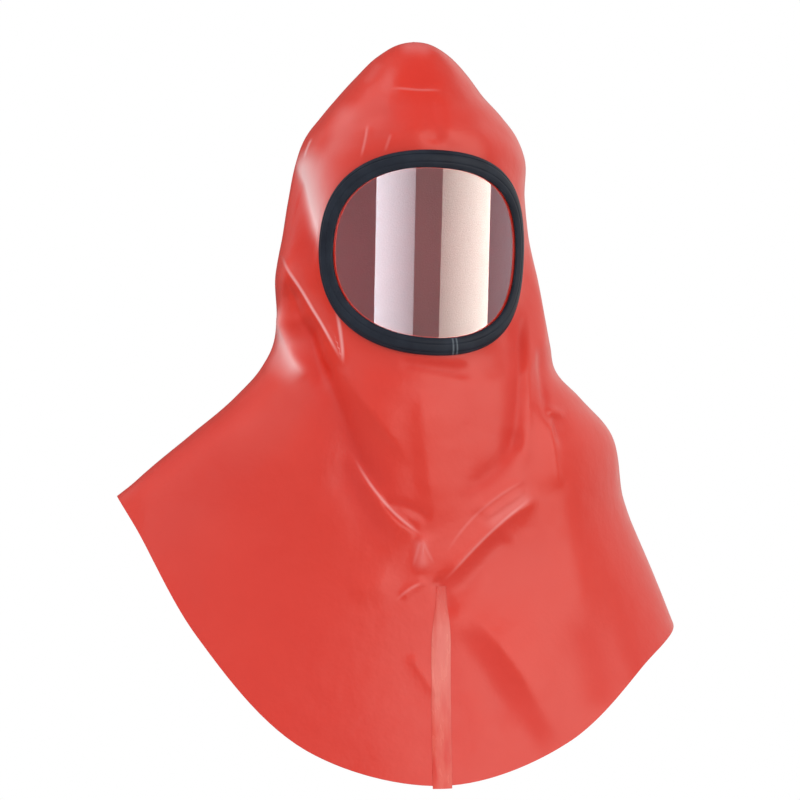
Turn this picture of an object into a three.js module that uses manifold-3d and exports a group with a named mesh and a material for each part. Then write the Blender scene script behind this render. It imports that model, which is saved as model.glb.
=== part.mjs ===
// Chemical splash hood: a peaked hood with a shoulder cape, welded from coated cloth,
// with a curved clear window held by a rubber strip.
// Millimetres, +Z up. The front faces -Y and +X is the hood's left side.
// The origin is on the inside of the crown, straight above the middle of the hood.

import * as THREE from 'three';
import { mergeVertices } from 'three/addons/utils/BufferGeometryUtils.js';
import Module from 'manifold-3d';

const { degToRad, smoothstep } = THREE.MathUtils;

// Sizes shared by all pieces
const WALL = 1.5;
const GAP = 0.4;
const WELD_DISTANCE = 1e-4;

// Turns rows of numbers into rows with named columns
function table(columns, rows) {
  return rows.map((row) => Object.fromEntries(columns.map((name, k) => [name, row[k]])));
}

// Level rings of the hood's outer face, from the crown down to the neck.
// middle is the ring's centre in Y; right, left, front and back are its reach from there.
const HEAD_RINGS = table(['z', 'middle', 'right', 'left', 'front', 'back'], [
  [6.5, -34, 0, 0, 0, 0],
  [2, -32, 19, 19, 26, 30],
  [-8, -29, 35, 35, 46, 54],
  [-28, -24, 55, 55, 70, 77],
  [-48, -19, 72, 71, 89, 91],
  [-68, -14, 88, 92, 106, 101],
  [-88, -9, 102, 109, 117, 108],
  [-108, -5, 109, 118, 123, 112],
  [-145, 0, 116, 119, 125, 119],
  [-185, 0, 123, 124, 121, 124],
  [-225, 0, 130, 134, 118, 128],
  [-265, 0, 128, 142, 115, 131],
  [-293, 0, 132, 148, 113, 134],
  [-313, 2, 142, 152, 113, 140],
]);

// Rings of the cape, which hang at a different height in front, on each side and behind
const CAPE_RINGS = table(
  ['middle', 'right', 'left', 'front', 'back', 'frontZ', 'rightZ', 'leftZ', 'backZ'], [
    [12, 170, 183, 122, 146, -361, -345, -344, -345],
    [24, 216, 221, 132, 152, -421, -385, -381, -389],
    [28, 253, 235, 136, 164, -515, -416, -445, -463],
    [30, 270, 262, 152, 178, -615, -431, -510, -550],
  ]);

// Stations of the hem by azimuth in degrees, 0 in front and 90 on the hood's left side.
// The cape has slipped to the left, so its right side ends higher.
const HEM = table(['azimuth', 'x', 'y', 'z'], [
  [-145, -165, 180, -565],
  [-122, -240, 128, -481],
  [-106, -274, 80, -449],
  [-90, -284, 32, -443],
  [-74, -273, -17, -471],
  [-52, -224, -77, -571],
  [-26, -124, -127, -679],
  [0, 0, -145, -712],
  [28, 133, -124, -677],
  [52, 226, -77, -609],
  [76, 280, -12, -577],
  [98, 284, 57, -567],
  [135, 200, 160, -610],
  [180, 0, 214, -635],
]);

// Main folds of the front, as lines in X and Z with a width and a height; a valley is negative
const FOLDS = table(['x0', 'z0', 'x1', 'z1', 'width', 'height'], [
  [-104, -125, -86, -215, 15, -5],
  [-122, -250, -98, -345, 18, -7],
  [-98, -345, -46, -445, 20, -10],
  [-86, -305, -24, -425, 18, 5],
  [-78, -400, -18, -474, 16, 6],
  [94, -445, 14, -518, 18, 7],
  [88, -470, 20, -536, 18, -6],
  [92, -290, 86, -410, 16, -5],
  [134, -356, 146, -400, 14, -4],
  [144, -400, 176, -600, 32, 3],
  [-6, -485, 0, -530, 28, -5],
  [58, -582, 124, -668, 28, 5],
]);

// The window's seat: a cylinder patch that leans forward at its top and is rolled a little.
// The half sizes are taken along the sheet, to the middle of the rubber strip.
const WINDOW = {
  radius: 119,
  z: -206.5,
  lean: degToRad(5),
  roll: degToRad(3.2),
  halfWidth: 110.5,
  halfHeight: 89.5,
  power: 2.2,
};

// Rubber strip: its section as steps across (outward from the window) and up from the cloth
const STRIP_HALF = 8.5;
const VISOR_WALL = 1.0;
const VISOR_LAP = 0.6;
const CLOTH_LIP = 2.5;
const VISOR_TOP = GAP + VISOR_WALL;
const STRIP_SECTION = table(['across', 'up'], [
  [STRIP_HALF, GAP],
  [STRIP_HALF, 2.6],
  [6.6, 5.2],
  [2.6, 6.4],
  [-2.6, 6.4],
  [-6.8, 5.6],
  [-STRIP_HALF, 4.0],
  [-STRIP_HALF, VISOR_TOP + GAP],
  [VISOR_LAP + GAP, VISOR_TOP + GAP],
  [VISOR_LAP + GAP, GAP],
]);
const STRIP_STATIONS = 72;
const VISOR_COLUMNS = 44;
const VISOR_ROWS = 3;
const CUT_DEPTH = 15;

// Hood mesh: fine columns in front, coarse ones behind, rows evenly spaced down each meridian
const FRONT_SPAN = 105;
const FRONT_COLUMNS = 42;
const BACK_COLUMNS = 15;
const HOOD_ROWS = 38;

// Seam tape on the centre front
const TAPE_HALF = 10;
const TAPE_WALL = 1.0;
const TAPE_TOP_Z = -508;
const TAPE_OVERHANG = 3;

// A point on an oval whose reach differs to the right, left, front and back
function ovalPoint(ring, azimuth, z) {
  const sine = Math.sin(azimuth);
  const cosine = Math.cos(azimuth);
  const x = (sine < 0 ? ring.right : ring.left) * sine;
  const y = ring.middle - (cosine > 0 ? ring.front : ring.back) * cosine;
  return new THREE.Vector3(x, y, z);
}

function capeHeight(ring, azimuth) {
  const sine = Math.sin(azimuth);
  const cosine = Math.cos(azimuth);
  const deep = cosine > 0 ? ring.frontZ : ring.backZ;
  const side = sine < 0 ? ring.rightZ : ring.leftZ;
  return deep * cosine * cosine + side * sine * sine;
}

const hemLine = new THREE.CatmullRomCurve3(
  HEM.map(({ x, y, z }) => new THREE.Vector3(x, y, z)), true, 'chordal');

function hemPoint(azimuth) {
  const turn = THREE.MathUtils.radToDeg(azimuth);
  const degrees = turn < HEM[0].azimuth ? turn + 360 : turn;
  const ends = [...HEM.map((station) => station.azimuth), HEM[0].azimuth + 360];
  const k = ends.findLastIndex((end, n) => end <= degrees && n < HEM.length);
  const share = (degrees - ends[k]) / (ends[k + 1] - ends[k]);
  return hemLine.getPoint((k + share) / HEM.length);
}

// The line from the crown down to the hem at one azimuth
function meridian(azimuth) {
  const head = HEAD_RINGS.map((ring) => ovalPoint(ring, azimuth, ring.z));
  const cape = CAPE_RINGS.map((ring) => ovalPoint(ring, azimuth, capeHeight(ring, azimuth)));
  return new THREE.CatmullRomCurve3([...head, ...cape, hemPoint(azimuth)], false, 'chordal');
}

// The window's own coordinates: along the sheet, up the sheet, and the radius from its axis
function toWindow(point) {
  const leaned = new THREE.Vector3(point.x, point.y, point.z - WINDOW.z);
  leaned.applyAxisAngle(new THREE.Vector3(1, 0, 0), -WINDOW.lean);
  const along = WINDOW.radius * Math.atan2(leaned.x, -leaned.y);
  const up = leaned.z - WINDOW.radius * Math.sin(WINDOW.lean);
  const rolled = new THREE.Vector2(along, up).rotateAround(new THREE.Vector2(), WINDOW.roll);
  return { along: rolled.x, up: rolled.y };
}

function fromWindow(along, up, radius) {
  const flat = new THREE.Vector2(along, up).rotateAround(new THREE.Vector2(), -WINDOW.roll);
  const angle = flat.x / WINDOW.radius;
  const height = flat.y + WINDOW.radius * Math.sin(WINDOW.lean);
  const point = new THREE.Vector3(radius * Math.sin(angle), -radius * Math.cos(angle), height);
  point.applyAxisAngle(new THREE.Vector3(1, 0, 0), WINDOW.lean);
  return point.setZ(point.z + WINDOW.z);
}

// Draws the cloth near the window onto the window's cylinder
function seat(point) {
  const { along, up } = toWindow(point);
  if (Math.abs(along) > WINDOW.radius * Math.PI / 2) return point;
  const share = Math.hypot(
    Math.abs(along / WINDOW.halfWidth) ** (WINDOW.power / 2),
    Math.abs(up / WINDOW.halfHeight) ** (WINDOW.power / 2)) ** (2 / WINDOW.power);
  const pull = 1 - smoothstep(share, 1.12, 1.52);
  return point.lerp(fromWindow(along, up, WINDOW.radius), pull);
}

// Height of all folds at a point of the front; each fold dies away at its ends
function foldHeight(point) {
  const spot = new THREE.Vector3(point.x, 0, point.z);
  const nearest = new THREE.Vector3();
  return FOLDS.reduce((sum, fold) => {
    const start = new THREE.Vector3(fold.x0, 0, fold.z0);
    const line = new THREE.Line3(start, new THREE.Vector3(fold.x1, 0, fold.z1));
    line.closestPointToPoint(spot, true, nearest);
    return sum + fold.height * Math.exp(-((spot.distanceTo(nearest) / fold.width) ** 2));
  }, 0);
}

// Normals of a grid whose columns run around and whose rows run down
function gridNormals(grid) {
  const columns = grid[0].length;
  return grid.map((row, i) => row.map((point, j) => {
    if (i === 0) return new THREE.Vector3(0, 0, 1);
    const above = grid[i - 1][j];
    const below = grid[Math.min(i + 1, grid.length - 1)][j];
    const before = row[(j + columns - 1) % columns];
    const after = row[(j + 1) % columns];
    const down = new THREE.Vector3().subVectors(below, above);
    const across = new THREE.Vector3().subVectors(after, before);
    return down.cross(across).normalize();
  }));
}

function shifted(grid, amount) {
  const normals = gridNormals(grid);
  return grid.map((row, i) => row.map(
    (point, j) => point.clone().addScaledVector(normals[i][j], amount(point, normals[i][j]))));
}

// Welds four-cornered faces into one closed mesh and drops the faces that have shrunk to a line
function weld(quads) {
  const corners = quads.flatMap(([a, b, c, d]) => [a, b, c, a, c, d]);
  const loose = new THREE.BufferGeometry().setFromPoints(corners);
  const merged = mergeVertices(loose, WELD_DISTANCE);
  const index = Array.from(merged.index.array);
  const kept = [];
  for (let k = 0; k < index.length; k += 3) {
    const [a, b, c] = index.slice(k, k + 3);
    if (a !== b && b !== c && c !== a) kept.push(a, b, c);
  }
  return merged.setIndex(kept);
}

// Faces of a sheet between an outer and an inner grid; wraps joins the last column to the first
function sheetFaces(outer, inner, wraps) {
  const rows = outer.length - 1;
  const columns = outer[0].length;
  const last = columns - 1;
  const quads = [];
  for (let j = 0; j < (wraps ? columns : last); j += 1) {
    const k = (j + 1) % columns;
    for (let i = 0; i < rows; i += 1) {
      quads.push([outer[i][j], outer[i + 1][j], outer[i + 1][k], outer[i][k]]);
      quads.push([inner[i][j], inner[i][k], inner[i + 1][k], inner[i + 1][j]]);
    }
    quads.push([outer[0][j], outer[0][k], inner[0][k], inner[0][j]]);
    quads.push([outer[rows][j], inner[rows][j], inner[rows][k], outer[rows][k]]);
  }
  for (let i = 0; i < rows && !wraps; i += 1) {
    quads.push([outer[i][0], inner[i][0], inner[i + 1][0], outer[i + 1][0]]);
    quads.push([outer[i][last], outer[i + 1][last], inner[i + 1][last], inner[i][last]]);
  }
  return quads;
}

// A point on the window's outline, set off outward in the flat sheet
function outlinePoint(angle, offset) {
  const bend = (value, power) => Math.sign(value) * Math.abs(value) ** power;
  const share = new THREE.Vector2(
    bend(Math.sin(angle), 2 / WINDOW.power), bend(Math.cos(angle), 2 / WINDOW.power));
  const spot = new THREE.Vector2(share.x * WINDOW.halfWidth, share.y * WINDOW.halfHeight);
  const outward = new THREE.Vector2(
    bend(share.x, WINDOW.power - 1) / WINDOW.halfWidth,
    bend(share.y, WINDOW.power - 1) / WINDOW.halfHeight);
  return spot.addScaledVector(outward.normalize(), offset);
}

// A sheet bent to the window's cylinder and cut to its outline, in upright columns
function windowSheet(offset, innerRadius, outerRadius) {
  const steps = (count) => Array.from({ length: count + 1 }, (_, k) => k / count);
  const columns = steps(VISOR_COLUMNS).map((step) => {
    const angle = Math.PI * (step - 0.5);
    return [outlinePoint(angle, offset), outlinePoint(Math.PI - angle, offset)];
  });
  const grid = (radius) => steps(VISOR_ROWS).map((share) => columns.map(([top, bottom]) => {
    const spot = new THREE.Vector2().lerpVectors(top, bottom, share);
    return fromWindow(spot.x, spot.y, radius);
  }));
  return weld(sheetFaces(grid(outerRadius), grid(innerRadius), false));
}

function rubberStrip() {
  const sections = Array.from({ length: STRIP_STATIONS }, (_, k) => {
    const angle = 2 * Math.PI * (k / STRIP_STATIONS);
    return STRIP_SECTION.map(({ across, up }) => {
      const spot = outlinePoint(angle, across);
      return fromWindow(spot.x, spot.y, WINDOW.radius + up);
    });
  });
  const quads = sections.flatMap((section, k) => {
    const next = sections[(k + 1) % sections.length];
    return section.map((point, n) => {
      const m = (n + 1) % section.length;
      return [point, section[m], next[m], next[n]];
    });
  });
  return weld(quads);
}

const wasm = await Module();
wasm.setup();

function toManifold(geometry) {
  const vertProperties = Float32Array.from(geometry.attributes.position.array);
  const triVerts = Uint32Array.from(geometry.index.array);
  return new wasm.Manifold(new wasm.Mesh({ numProp: 3, vertProperties, triVerts }));
}

function toGeometry(manifold) {
  const mesh = manifold.getMesh();
  const geometry = new THREE.BufferGeometry();
  geometry.setAttribute('position', new THREE.BufferAttribute(mesh.vertProperties, 3));
  return geometry.setIndex(Array.from(mesh.triVerts));
}

// The hood's outer face: meridians, then the folds, then the window's seat
function hoodFace() {
  const front = Array.from(
    { length: FRONT_COLUMNS + 1 }, (_, k) => FRONT_SPAN * (2 * k / FRONT_COLUMNS - 1));
  const back = Array.from(
    { length: BACK_COLUMNS - 1 }, (_, k) => FRONT_SPAN + (360 - 2 * FRONT_SPAN) * ((k + 1) / BACK_COLUMNS));
  const lines = [...front, ...back].map(
    (degrees) => meridian(degToRad(degrees > 180 ? degrees - 360 : degrees)));
  const smooth = Array.from(
    { length: HOOD_ROWS + 1 }, (_, i) => lines.map((line) => line.getPointAt(i / HOOD_ROWS)));
  const folded = shifted(
    smooth, (point, normal) => foldHeight(point) * smoothstep(-normal.y, 0.05, 0.4));
  return folded.map((row) => row.map(seat));
}

// The tape follows the hood's middle column and hangs a little past the hem
function seamTape(face) {
  const centre = FRONT_COLUMNS / 2;
  const normals = gridNormals(face);
  const toward = (row, side) => {
    const reach = new THREE.Vector3().subVectors(row[centre + side], row[centre]);
    return row[centre].clone().addScaledVector(reach.normalize(), TAPE_HALF);
  };
  const start = face.findIndex((row) => row[centre].z < TAPE_TOP_Z);
  const rows = face.slice(start).map((row) => [toward(row, -1), row[centre], toward(row, 1)]);
  const [before, end] = rows.slice(-2);
  rows.push(end.map((point, k) => {
    const down = new THREE.Vector3().subVectors(point, before[k]).normalize();
    return point.clone().addScaledVector(down, TAPE_OVERHANG);
  }));
  const lifted = (height) => rows.map((row, i) => {
    const normal = normals[Math.min(start + i, face.length - 1)][centre];
    return row.map((point) => point.clone().addScaledVector(normal, height));
  });
  return weld(sheetFaces(lifted(GAP + TAPE_WALL), lifted(GAP), false));
}

const face = hoodFace();
const inside = shifted(face, () => -WALL);
const opening = windowSheet(-STRIP_HALF - CLOTH_LIP, WINDOW.radius - CUT_DEPTH, WINDOW.radius + CUT_DEPTH);
const hood = toGeometry(
  toManifold(weld(sheetFaces(face, inside, true))).subtract(toManifold(opening)));
const visor = windowSheet(VISOR_LAP, WINDOW.radius + GAP, WINDOW.radius + VISOR_TOP);

function finish(name, color, roughness) {
  return new THREE.MeshStandardMaterial({ name, color, roughness, metalness: 0 });
}

const part = new THREE.Group();
part.name = 'chemical_splash_hood';
[
  ['hood_shell', hood, finish('coated_cloth', '#d9453b', 0.35)],
  ['window_gasket', rubberStrip(), finish('rubber', '#343d45', 0.5)],
  ['visor', visor, finish('clear_plastic', '#dfe6ea', 0.05)],
  ['front_seam_tape', seamTape(face), finish('seam_tape', '#e0564c', 0.25)],
].forEach(([name, geometry, material]) => {
  geometry.computeVertexNormals();
  const mesh = new THREE.Mesh(geometry, material);
  mesh.name = name;
  part.add(mesh);
});

export default part;
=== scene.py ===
import math
from collections import namedtuple

import bmesh
import bpy
import numpy as np
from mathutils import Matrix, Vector, noise


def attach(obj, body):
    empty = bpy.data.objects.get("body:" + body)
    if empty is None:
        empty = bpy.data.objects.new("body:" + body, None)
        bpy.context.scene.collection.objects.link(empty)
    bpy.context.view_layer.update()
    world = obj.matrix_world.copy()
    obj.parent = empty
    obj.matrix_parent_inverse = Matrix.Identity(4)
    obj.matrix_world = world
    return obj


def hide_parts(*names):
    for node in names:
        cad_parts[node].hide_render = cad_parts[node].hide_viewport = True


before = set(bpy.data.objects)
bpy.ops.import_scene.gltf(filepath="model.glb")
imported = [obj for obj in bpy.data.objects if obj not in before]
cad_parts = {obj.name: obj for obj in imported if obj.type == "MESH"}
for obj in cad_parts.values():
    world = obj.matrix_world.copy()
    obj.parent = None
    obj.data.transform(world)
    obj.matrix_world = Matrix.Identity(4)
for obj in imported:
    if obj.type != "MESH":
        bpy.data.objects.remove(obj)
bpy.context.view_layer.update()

# Chemical splash hood: a peaked hood and shoulder cape of coated cloth, with a curved clear
# window held by a rubber strip. Sizes are in millimetres until a mesh is made.
# The front faces -Y, +X is the hood's left side, and the origin is inside the crown.
MM = 0.001

# The photograph's view, in metres, with the lens in millimetres: the hood's front is turned a
# little to the picture's right
VIEW_TURN = math.radians(14)
VIEW_FORWARD = np.array([math.sin(VIEW_TURN), math.cos(VIEW_TURN), 0.0])
VIEW_RIGHT = np.array([math.cos(VIEW_TURN), -math.sin(VIEW_TURN), 0.0])
VIEW_DISTANCE = 2.6
VIEW_SHIFT = -0.005
VIEW_HEIGHT = -0.347
VIEW_LENS = 117

# Level rings of the hood's outer face, from the crown down to the neck.
# middle is the ring's centre in Y; right, left, front and back are its reach from there.
HeadRing = namedtuple("HeadRing", "z middle right left front back")
HEAD_RINGS = [HeadRing(*row) for row in (
    (6.5, -34, 0, 0, 0, 0),
    (2, -32, 19, 19, 26, 30),
    (-8, -29, 35, 35, 46, 54),
    (-28, -24, 55, 55, 70, 77),
    (-48, -19, 72, 71, 89, 91),
    (-68, -14, 88, 92, 106, 101),
    (-88, -9, 102, 109, 117, 108),
    (-108, -5, 109, 118, 123, 112),
    (-145, 0, 116, 119, 125, 119),
    (-185, 0, 123, 124, 121, 124),
    (-225, 0, 130, 134, 118, 128),
    (-265, 0, 128, 142, 115, 131),
    (-293, 0, 132, 148, 113, 134),
    (-313, 2, 142, 152, 113, 140),
)]

# Rings of the cape, which hang at a different height in front, on each side and behind
CapeRing = namedtuple("CapeRing", "middle right left front back front_z right_z left_z back_z")
CAPE_RINGS = [CapeRing(*row) for row in (
    (12, 170, 183, 122, 146, -361, -345, -344, -345),
    (24, 216, 221, 132, 152, -421, -385, -381, -389),
    (28, 253, 235, 136, 164, -515, -416, -445, -463),
    (30, 270, 262, 152, 178, -615, -431, -510, -550),
)]

# Stations of the hem by azimuth in degrees, 0 in front and 90 on the hood's left side
HemStation = namedtuple("HemStation", "azimuth x y z")
HEM = [HemStation(*row) for row in (
    (-145, -165, 180, -565),
    (-122, -240, 128, -481),
    (-106, -274, 80, -449),
    (-90, -284, 32, -443),
    (-74, -273, -17, -471),
    (-52, -224, -77, -571),
    (-26, -124, -127, -679),
    (0, 0, -145, -712),
    (28, 133, -124, -677),
    (52, 226, -77, -609),
    (76, 280, -12, -577),
    (98, 284, 57, -567),
    (135, 200, 160, -610),
    (180, 0, 214, -635),
)]

# Folds of the front, drawn on an upright plane that faces the camera: start, middle and end of
# a bowed line, its width to the left and right of its direction, its height and how soft its
# crest is. A valley has a negative height, and every fold dies away at its ends.
Fold = namedtuple("Fold", "x0 z0 x1 z1 x2 z2 left right height soft")
FOLDS = [Fold(*row) for row in (
    # the right side of the head
    (-116, -110, -97, -163, -72, -228, 16, 20, -7, 1.1),
    (-123, -202, -90, -256, -57, -316, 5, 13, 4.2, 1.0),
    (-69, -255, -63, -284, -60, -316, 3, 4, 1.8, 1.0),
    (-126, -245, -116, -290, -98, -328, 6, 14, 6, 1.0),
    (-116, -226, -99, -284, -78, -340, 10, 8, -5, 1.3),
    # from the right of the window down to the chest
    (-103, -265, -74, -337, -15, -477, 12, 28, -8.5, 1.5),
    (-63, -316, -27, -364, 10, -412, 34, 8, 4.5, 1.2),
    (-56, -392, -20, -450, 13, -476, 4, 18, 4.6, 1.0),
    (-24, -439, -4, -461, 14, -472, 5, 3, -2.2, 1.4),
    (-14, -446, 6, -452, 26, -464, 4, 4, -1.6, 1.5),
    (-65, -396, -45, -447, -8, -495, 9, 22, -3.5, 1.8),
    # the middle of the chest
    (20, -335, 21, -395, 36, -493, 30, 10, 2.5, 1.8),
    (-8, -307, 27, -314, 68, -321, 6, 6, -2.5, 2),
    (16, -472, 15, -493, 13, -520, 9, 5, 2.4, 1.3),
    (-4, -537, 7, -527, 20, -520, 3, 3, 1.4, 1.3),
    (-57, -536, -33, -525, -4, -529, 12, 12, 1.6, 2),
    (28, -517, 37, -531, 44, -563, 8, 5, -3, 1.6),
    # from the left shoulder down to the chest
    (132, -441, 80, -476, 33, -526, 7, 14, 4.4, 1.0),
    (100, -478, 76, -503, 42, -540, 8, 9, -2, 1.6),
    (117, -424, 93, -437, 64, -457, 3, 4, 1.4, 1.4),
    (118, -433, 95, -447, 74, -463, 3, 4, 1.3, 1.4),
    (110, -370, 94, -408, 54, -434, 7, 9, -2.4, 1.6),
    # the left side of the neck
    (112, -252, 112, -337, 102, -412, 5, 11, -4, 1.2),
    (120, -256, 120, -337, 114, -418, 4, 4, 1.4, 1.4),
    (134, -286, 136, -332, 140, -376, 4, 4, -2.4, 1.5),
    (138, -342, 142, -386, 148, -440, 5, 9, 2.2, 1.3),
    (137, -361, 147, -359, 159, -364, 3, 4, 1.4, 1.4),
    (141, -356, 147, -374, 153, -400, 12, 4, -4, 1.3),
    (140, -350, 152, -436, 186, -610, 40, 26, 3.5, 1.5),
    # the apron
    (50, -540, 101, -599, 156, -690, 60, 11, 8, 1.2),
    (54, -566, 74, -610, 110, -668, 10, 14, -1.5, 1.5),
    (3, -587, 18, -610, 33, -632, 4, 5, 1.3, 1.4),
    (45, -531, 61, -598, 81, -699, 14, 14, 1.6, 2),
    # the crown
    (-14, -51, 11, -50, 36, -51, 3, 3, 0.8, 1.4),
    (-7, -47, 18, -45, 46, -35, 18, 5, -2.5, 1.3),
    (2, -14, -13, -47, -19, -86, 10, 26, 2, 1.3),
    (-26, -31, -51, -69, -72, -112, 9, 13, 1.6, 1.5),
    (-53, -53, -76, -87, -94, -118, 8, 11, 1.5, 1.5),
    (-34, -83, -36, -101, -40, -120, 3, 3, 1.2, 1.3),
    (-12, -92, -15, -102, -18, -115, 3, 3, 0.8, 1.3),
    (19, -48, 26, -81, 30, -112, 7, 10, -1.8, 2),
    (39, -49, 42, -79, 49, -113, 13, 7, 1.6, 1.5),
)]
# Straight steps of a bowed line, and its fade at each end: so many widths of the fold, within
# these shares of its length
FOLD_STEPS = 12
FOLD_END_WIDTHS = 1.7
FOLD_ENDS = (0.2, 0.5)
# Every crest is rounded over this reach
CREST_ROUND = 1.2
# The drawn folds fade where the cloth turns away from the camera, by the cosine of the turn
IN_VIEW = (0.05, 0.4)

# Broad patches of painted highlight, where the film is drawn paler: the columns of a fold, with the
# share of paleness as its height
PAINTED_HIGHLIGHT_PATCHES = [Fold(*row) for row in (
    # the right side of the head
    (-109, -96, -100, -147, -82, -208, 18, 3, 1.0, 1.2),
    (-124, -250, -118, -292, -99, -323, 3, 8, 0.66, 1.3),
    (-137, -296, -121, -316, -100, -328, 8, 8, 0.09, 2),
    # the chest
    (14, -478, 15, -495, 17, -512, 5, 5, 0.12, 2),
    (76, -474, 100, -454, 126, -440, 8, 3, 0.11, 1.5),
    # the crown
    (-52, -54, -62, -86, -74, -116, 12, 9, 0.12, 1.6),
    (-24, -16, -31, -29, -39, -42, 4, 4, 0.05, 2),
    (-12, -22, -15, -38, -21, -55, 5, 5, 0.03, 2),
    (-10, -3, 11, -1, 31, -7, 8, 8, 0.15, 2),
)]

# Creases, along which a painted highlight pales the film in a fine line: start, middle and end of
# the line and the share of paleness
Crease = namedtuple("Crease", "x0 z0 x1 z1 x2 z2 share")
CREASES = [Crease(*row) for row in (
    # the right side of the head
    (-90, -90, -95, -100, -100, -112, 0.45),
    (-127, -199, -91, -254, -59, -314, 0.56),
    (-68, -257, -61, -287, -60, -314, 0.45),
    # the chest
    (-50, -400, -18, -447, 18, -477, 0.34),
    (125, -440, 80, -476, 34, -525, 0.24),
    (38, -496, 72, -454, 118, -424, 0.1),
    (15, -479, 11, -493, 7, -508, 0.08),
    (15, -479, 21, -492, 28, -505, 0.08),
    (-10, -540, 4, -528, 16, -523, 0.14),
    # the crown
    (-16, -49, 10, -49, 37, -50, 0.15),
    (-36, -82, -38, -99, -43, -117, 0.19),
    (-13, -93, -16, -101, -20, -112, 0.11),
)]
# The share of a crease that fades at each end, the line's half width, and the distances
# between which its mark on the mesh dies away
CREASE_FADE = 0.3
CREASE_WIDTH = 2.4
CREASE_REACH = (3.0, 6.0)

# Bands of painted shade, where the red is deeper and the film rougher: the columns of a fold, with
# the share of shade and of gloss lost as its height
DULL_SHADED_BANDS = [Fold(*row) for row in (
    # the crown, above the strip
    (-24, -80, 25, -74, 78, -83, 11, 11, 0.5, 2),
    # the neck, under the strip and on the left
    (-20, -308, 25, -311, 62, -318, 5, 8, 0.35, 2),
    (108, -240, 106, -345, 95, -420, 6, 8, 0.5, 3),
    (102, -394, 82, -423, 46, -438, 7, 7, 0.3, 2),
    # the chest
    (-110, -258, -95, -300, -66, -380, 9, 9, 0.5, 2),
    (-68, -404, -36, -455, -6, -488, 6, 6, 0.3, 2),
    (108, -458, 70, -498, 36, -531, 6, 6, 0.35, 2.5),
    (36, -520, 36, -541, 41, -562, 4, 4, 0.4, 2),
    # the cape
    (50, -556, 100, -621, 148, -692, 10, 12, 0.45, 2.5),
    (165, -550, 185, -610, 192, -655, 16, 16, 0.35, 2),
)]

# Soft folds of the hidden back: azimuth and width in degrees, height at the hem
BackFold = namedtuple("BackFold", "azimuth width height")
BACK_FOLDS = [BackFold(*row) for row in (
    (118, 11, -8),
    (142, 12, 7),
    (164, 11, -8),
    (-172, 12, 7),
    (-150, 11, -7),
    (-128, 10, 5),
)]
BACK_FOLD_START = 0.42

# Slack of the cloth: slow waves and small ripples, as (wavelength, height)
SLACK = ((70, 0.8), (20, 0.2))
# The crown's first rows have no slack, so that the pole stays smooth
SLACK_ROWS = 8

# Hood mesh: fine columns in front, coarser ones behind, rows evenly spaced down each meridian.
# The inside has a third as many of both, and stays under the deepest point of the folds nearby.
FRONT_SPAN = 84
FRONT_COLUMNS = 264
BACK_COLUMNS = 63
HOOD_ROWS = 288
INSIDE_STEP = 3
INSIDE_NEAR = 3
SPAN_STEPS = 14
WALL = 1.5

# The window's seat: a cylinder patch that leans forward at its top and is rolled a little.
# The half sizes are taken along the sheet, to the middle of the rubber strip.
WINDOW_RADIUS = 119
WINDOW_Z = -206.5
WINDOW_LEAN = math.radians(5)
WINDOW_ROLL = math.radians(3.2)
WINDOW_HALF = np.array([110.5, 89.5])
WINDOW_POWER = 2.2
# Shares of the outline between which the cloth leaves the cylinder, and between which the folds
# begin. The hood's far side counts as this far out.
SEAT_SHARES = (1.12, 1.52)
FLAT_SHARES = (1.1, 1.22)
FAR_SHARE = 9
# The edge of the cloth's opening shows just inside the strip, and its cutter reaches this deep
# both ways
OPENING_OFFSET = -9.1
OPENING_DEPTH = 15
OPENING_CELLS = (60, 44)

# Rubber strip: its section as steps across (outward from the window) and up from the cloth,
# with two fine grooves along its crown
STRIP_SECTION = (
    (8.5, 0.4), (8.5, 2.2), (8.2, 3.3), (7.4, 4.3), (6.2, 5.1), (5.3, 5.5), (4.9, 5.15),
    (4.5, 5.75), (3.0, 6.2), (1.2, 6.4), (-0.8, 6.45), (-2.3, 6.4), (-2.7, 6.05), (-3.1, 6.3),
    (-4.8, 6.0), (-6.4, 5.5), (-7.6, 4.9), (-8.3, 4.2), (-8.5, 3.4), (-8.5, 1.8), (1.0, 1.8),
    (1.0, 0.4),
)
# The strip is first a round band of this radius, whose stations then crowd towards its joint
STRIP_STATIONS = 360
STRIP_BASE = 100.0
JOINT_ANGLE = math.radians(169)
JOINT_CROWDING = 0.75
JOINT_REACH = math.radians(9)
# The two lips of the butt joint: half the gap between them, their width and rise, and the
# heights on the section between which they appear
JOINT_HALF_GAP = 1.7
JOINT_LIP = 0.55
JOINT_RISE = 0.5
JOINT_LIP_HEIGHTS = (2.5, 4.5)

# Clear sheet of the window, a small gap off the cloth, with its edge under the strip's middle
VISOR_GAP = 0.4
VISOR_WALL = 1.0
VISOR_LAP = 0.6
VISOR_CELLS = (96, 72)

# Tape over the centre front seam: its half width, that of its top end, and the share of its
# length over which it widens
TAPE_HALF = 9.5
TAPE_TOP_HALF = 5
TAPE_WIDENS = 0.3
TAPE_WALL = 0.25
TAPE_GAP = 0.1
TAPE_TOP_Z = -524
TAPE_TOP_X = 9
TAPE_OVERHANG = 3
# Columns across the tape, and columns of the cloth on each side of the centre that may carry it
TAPE_COLUMNS = 12
TAPE_NEAR = 15
# Its middle stands off the cloth by this much, crumpled in waves this wide and high
TAPE_LIFT = 0.5
TAPE_CRUMPLE = (9, 26)
TAPE_NOISE_LAYER = 3.0
# Heights in metres of the middle of the tape's painted highlight, and of where its top melts into the
# cloth
TAPE_HIGHLIGHT_Z = -0.59
TAPE_HIGHLIGHT_REACH = (0.02, 0.075)
TAPE_MELT_Z = (-0.565, -0.53)

# Edges sharper than these stay sharp in shading
SHEET_ANGLE = math.radians(40)
STRIP_ANGLE = math.radians(50)


def smoothstep(value, low, high):
    share = np.clip((value - low) / (high - low), 0, 1)
    return share * share * (3 - 2 * share)


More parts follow.
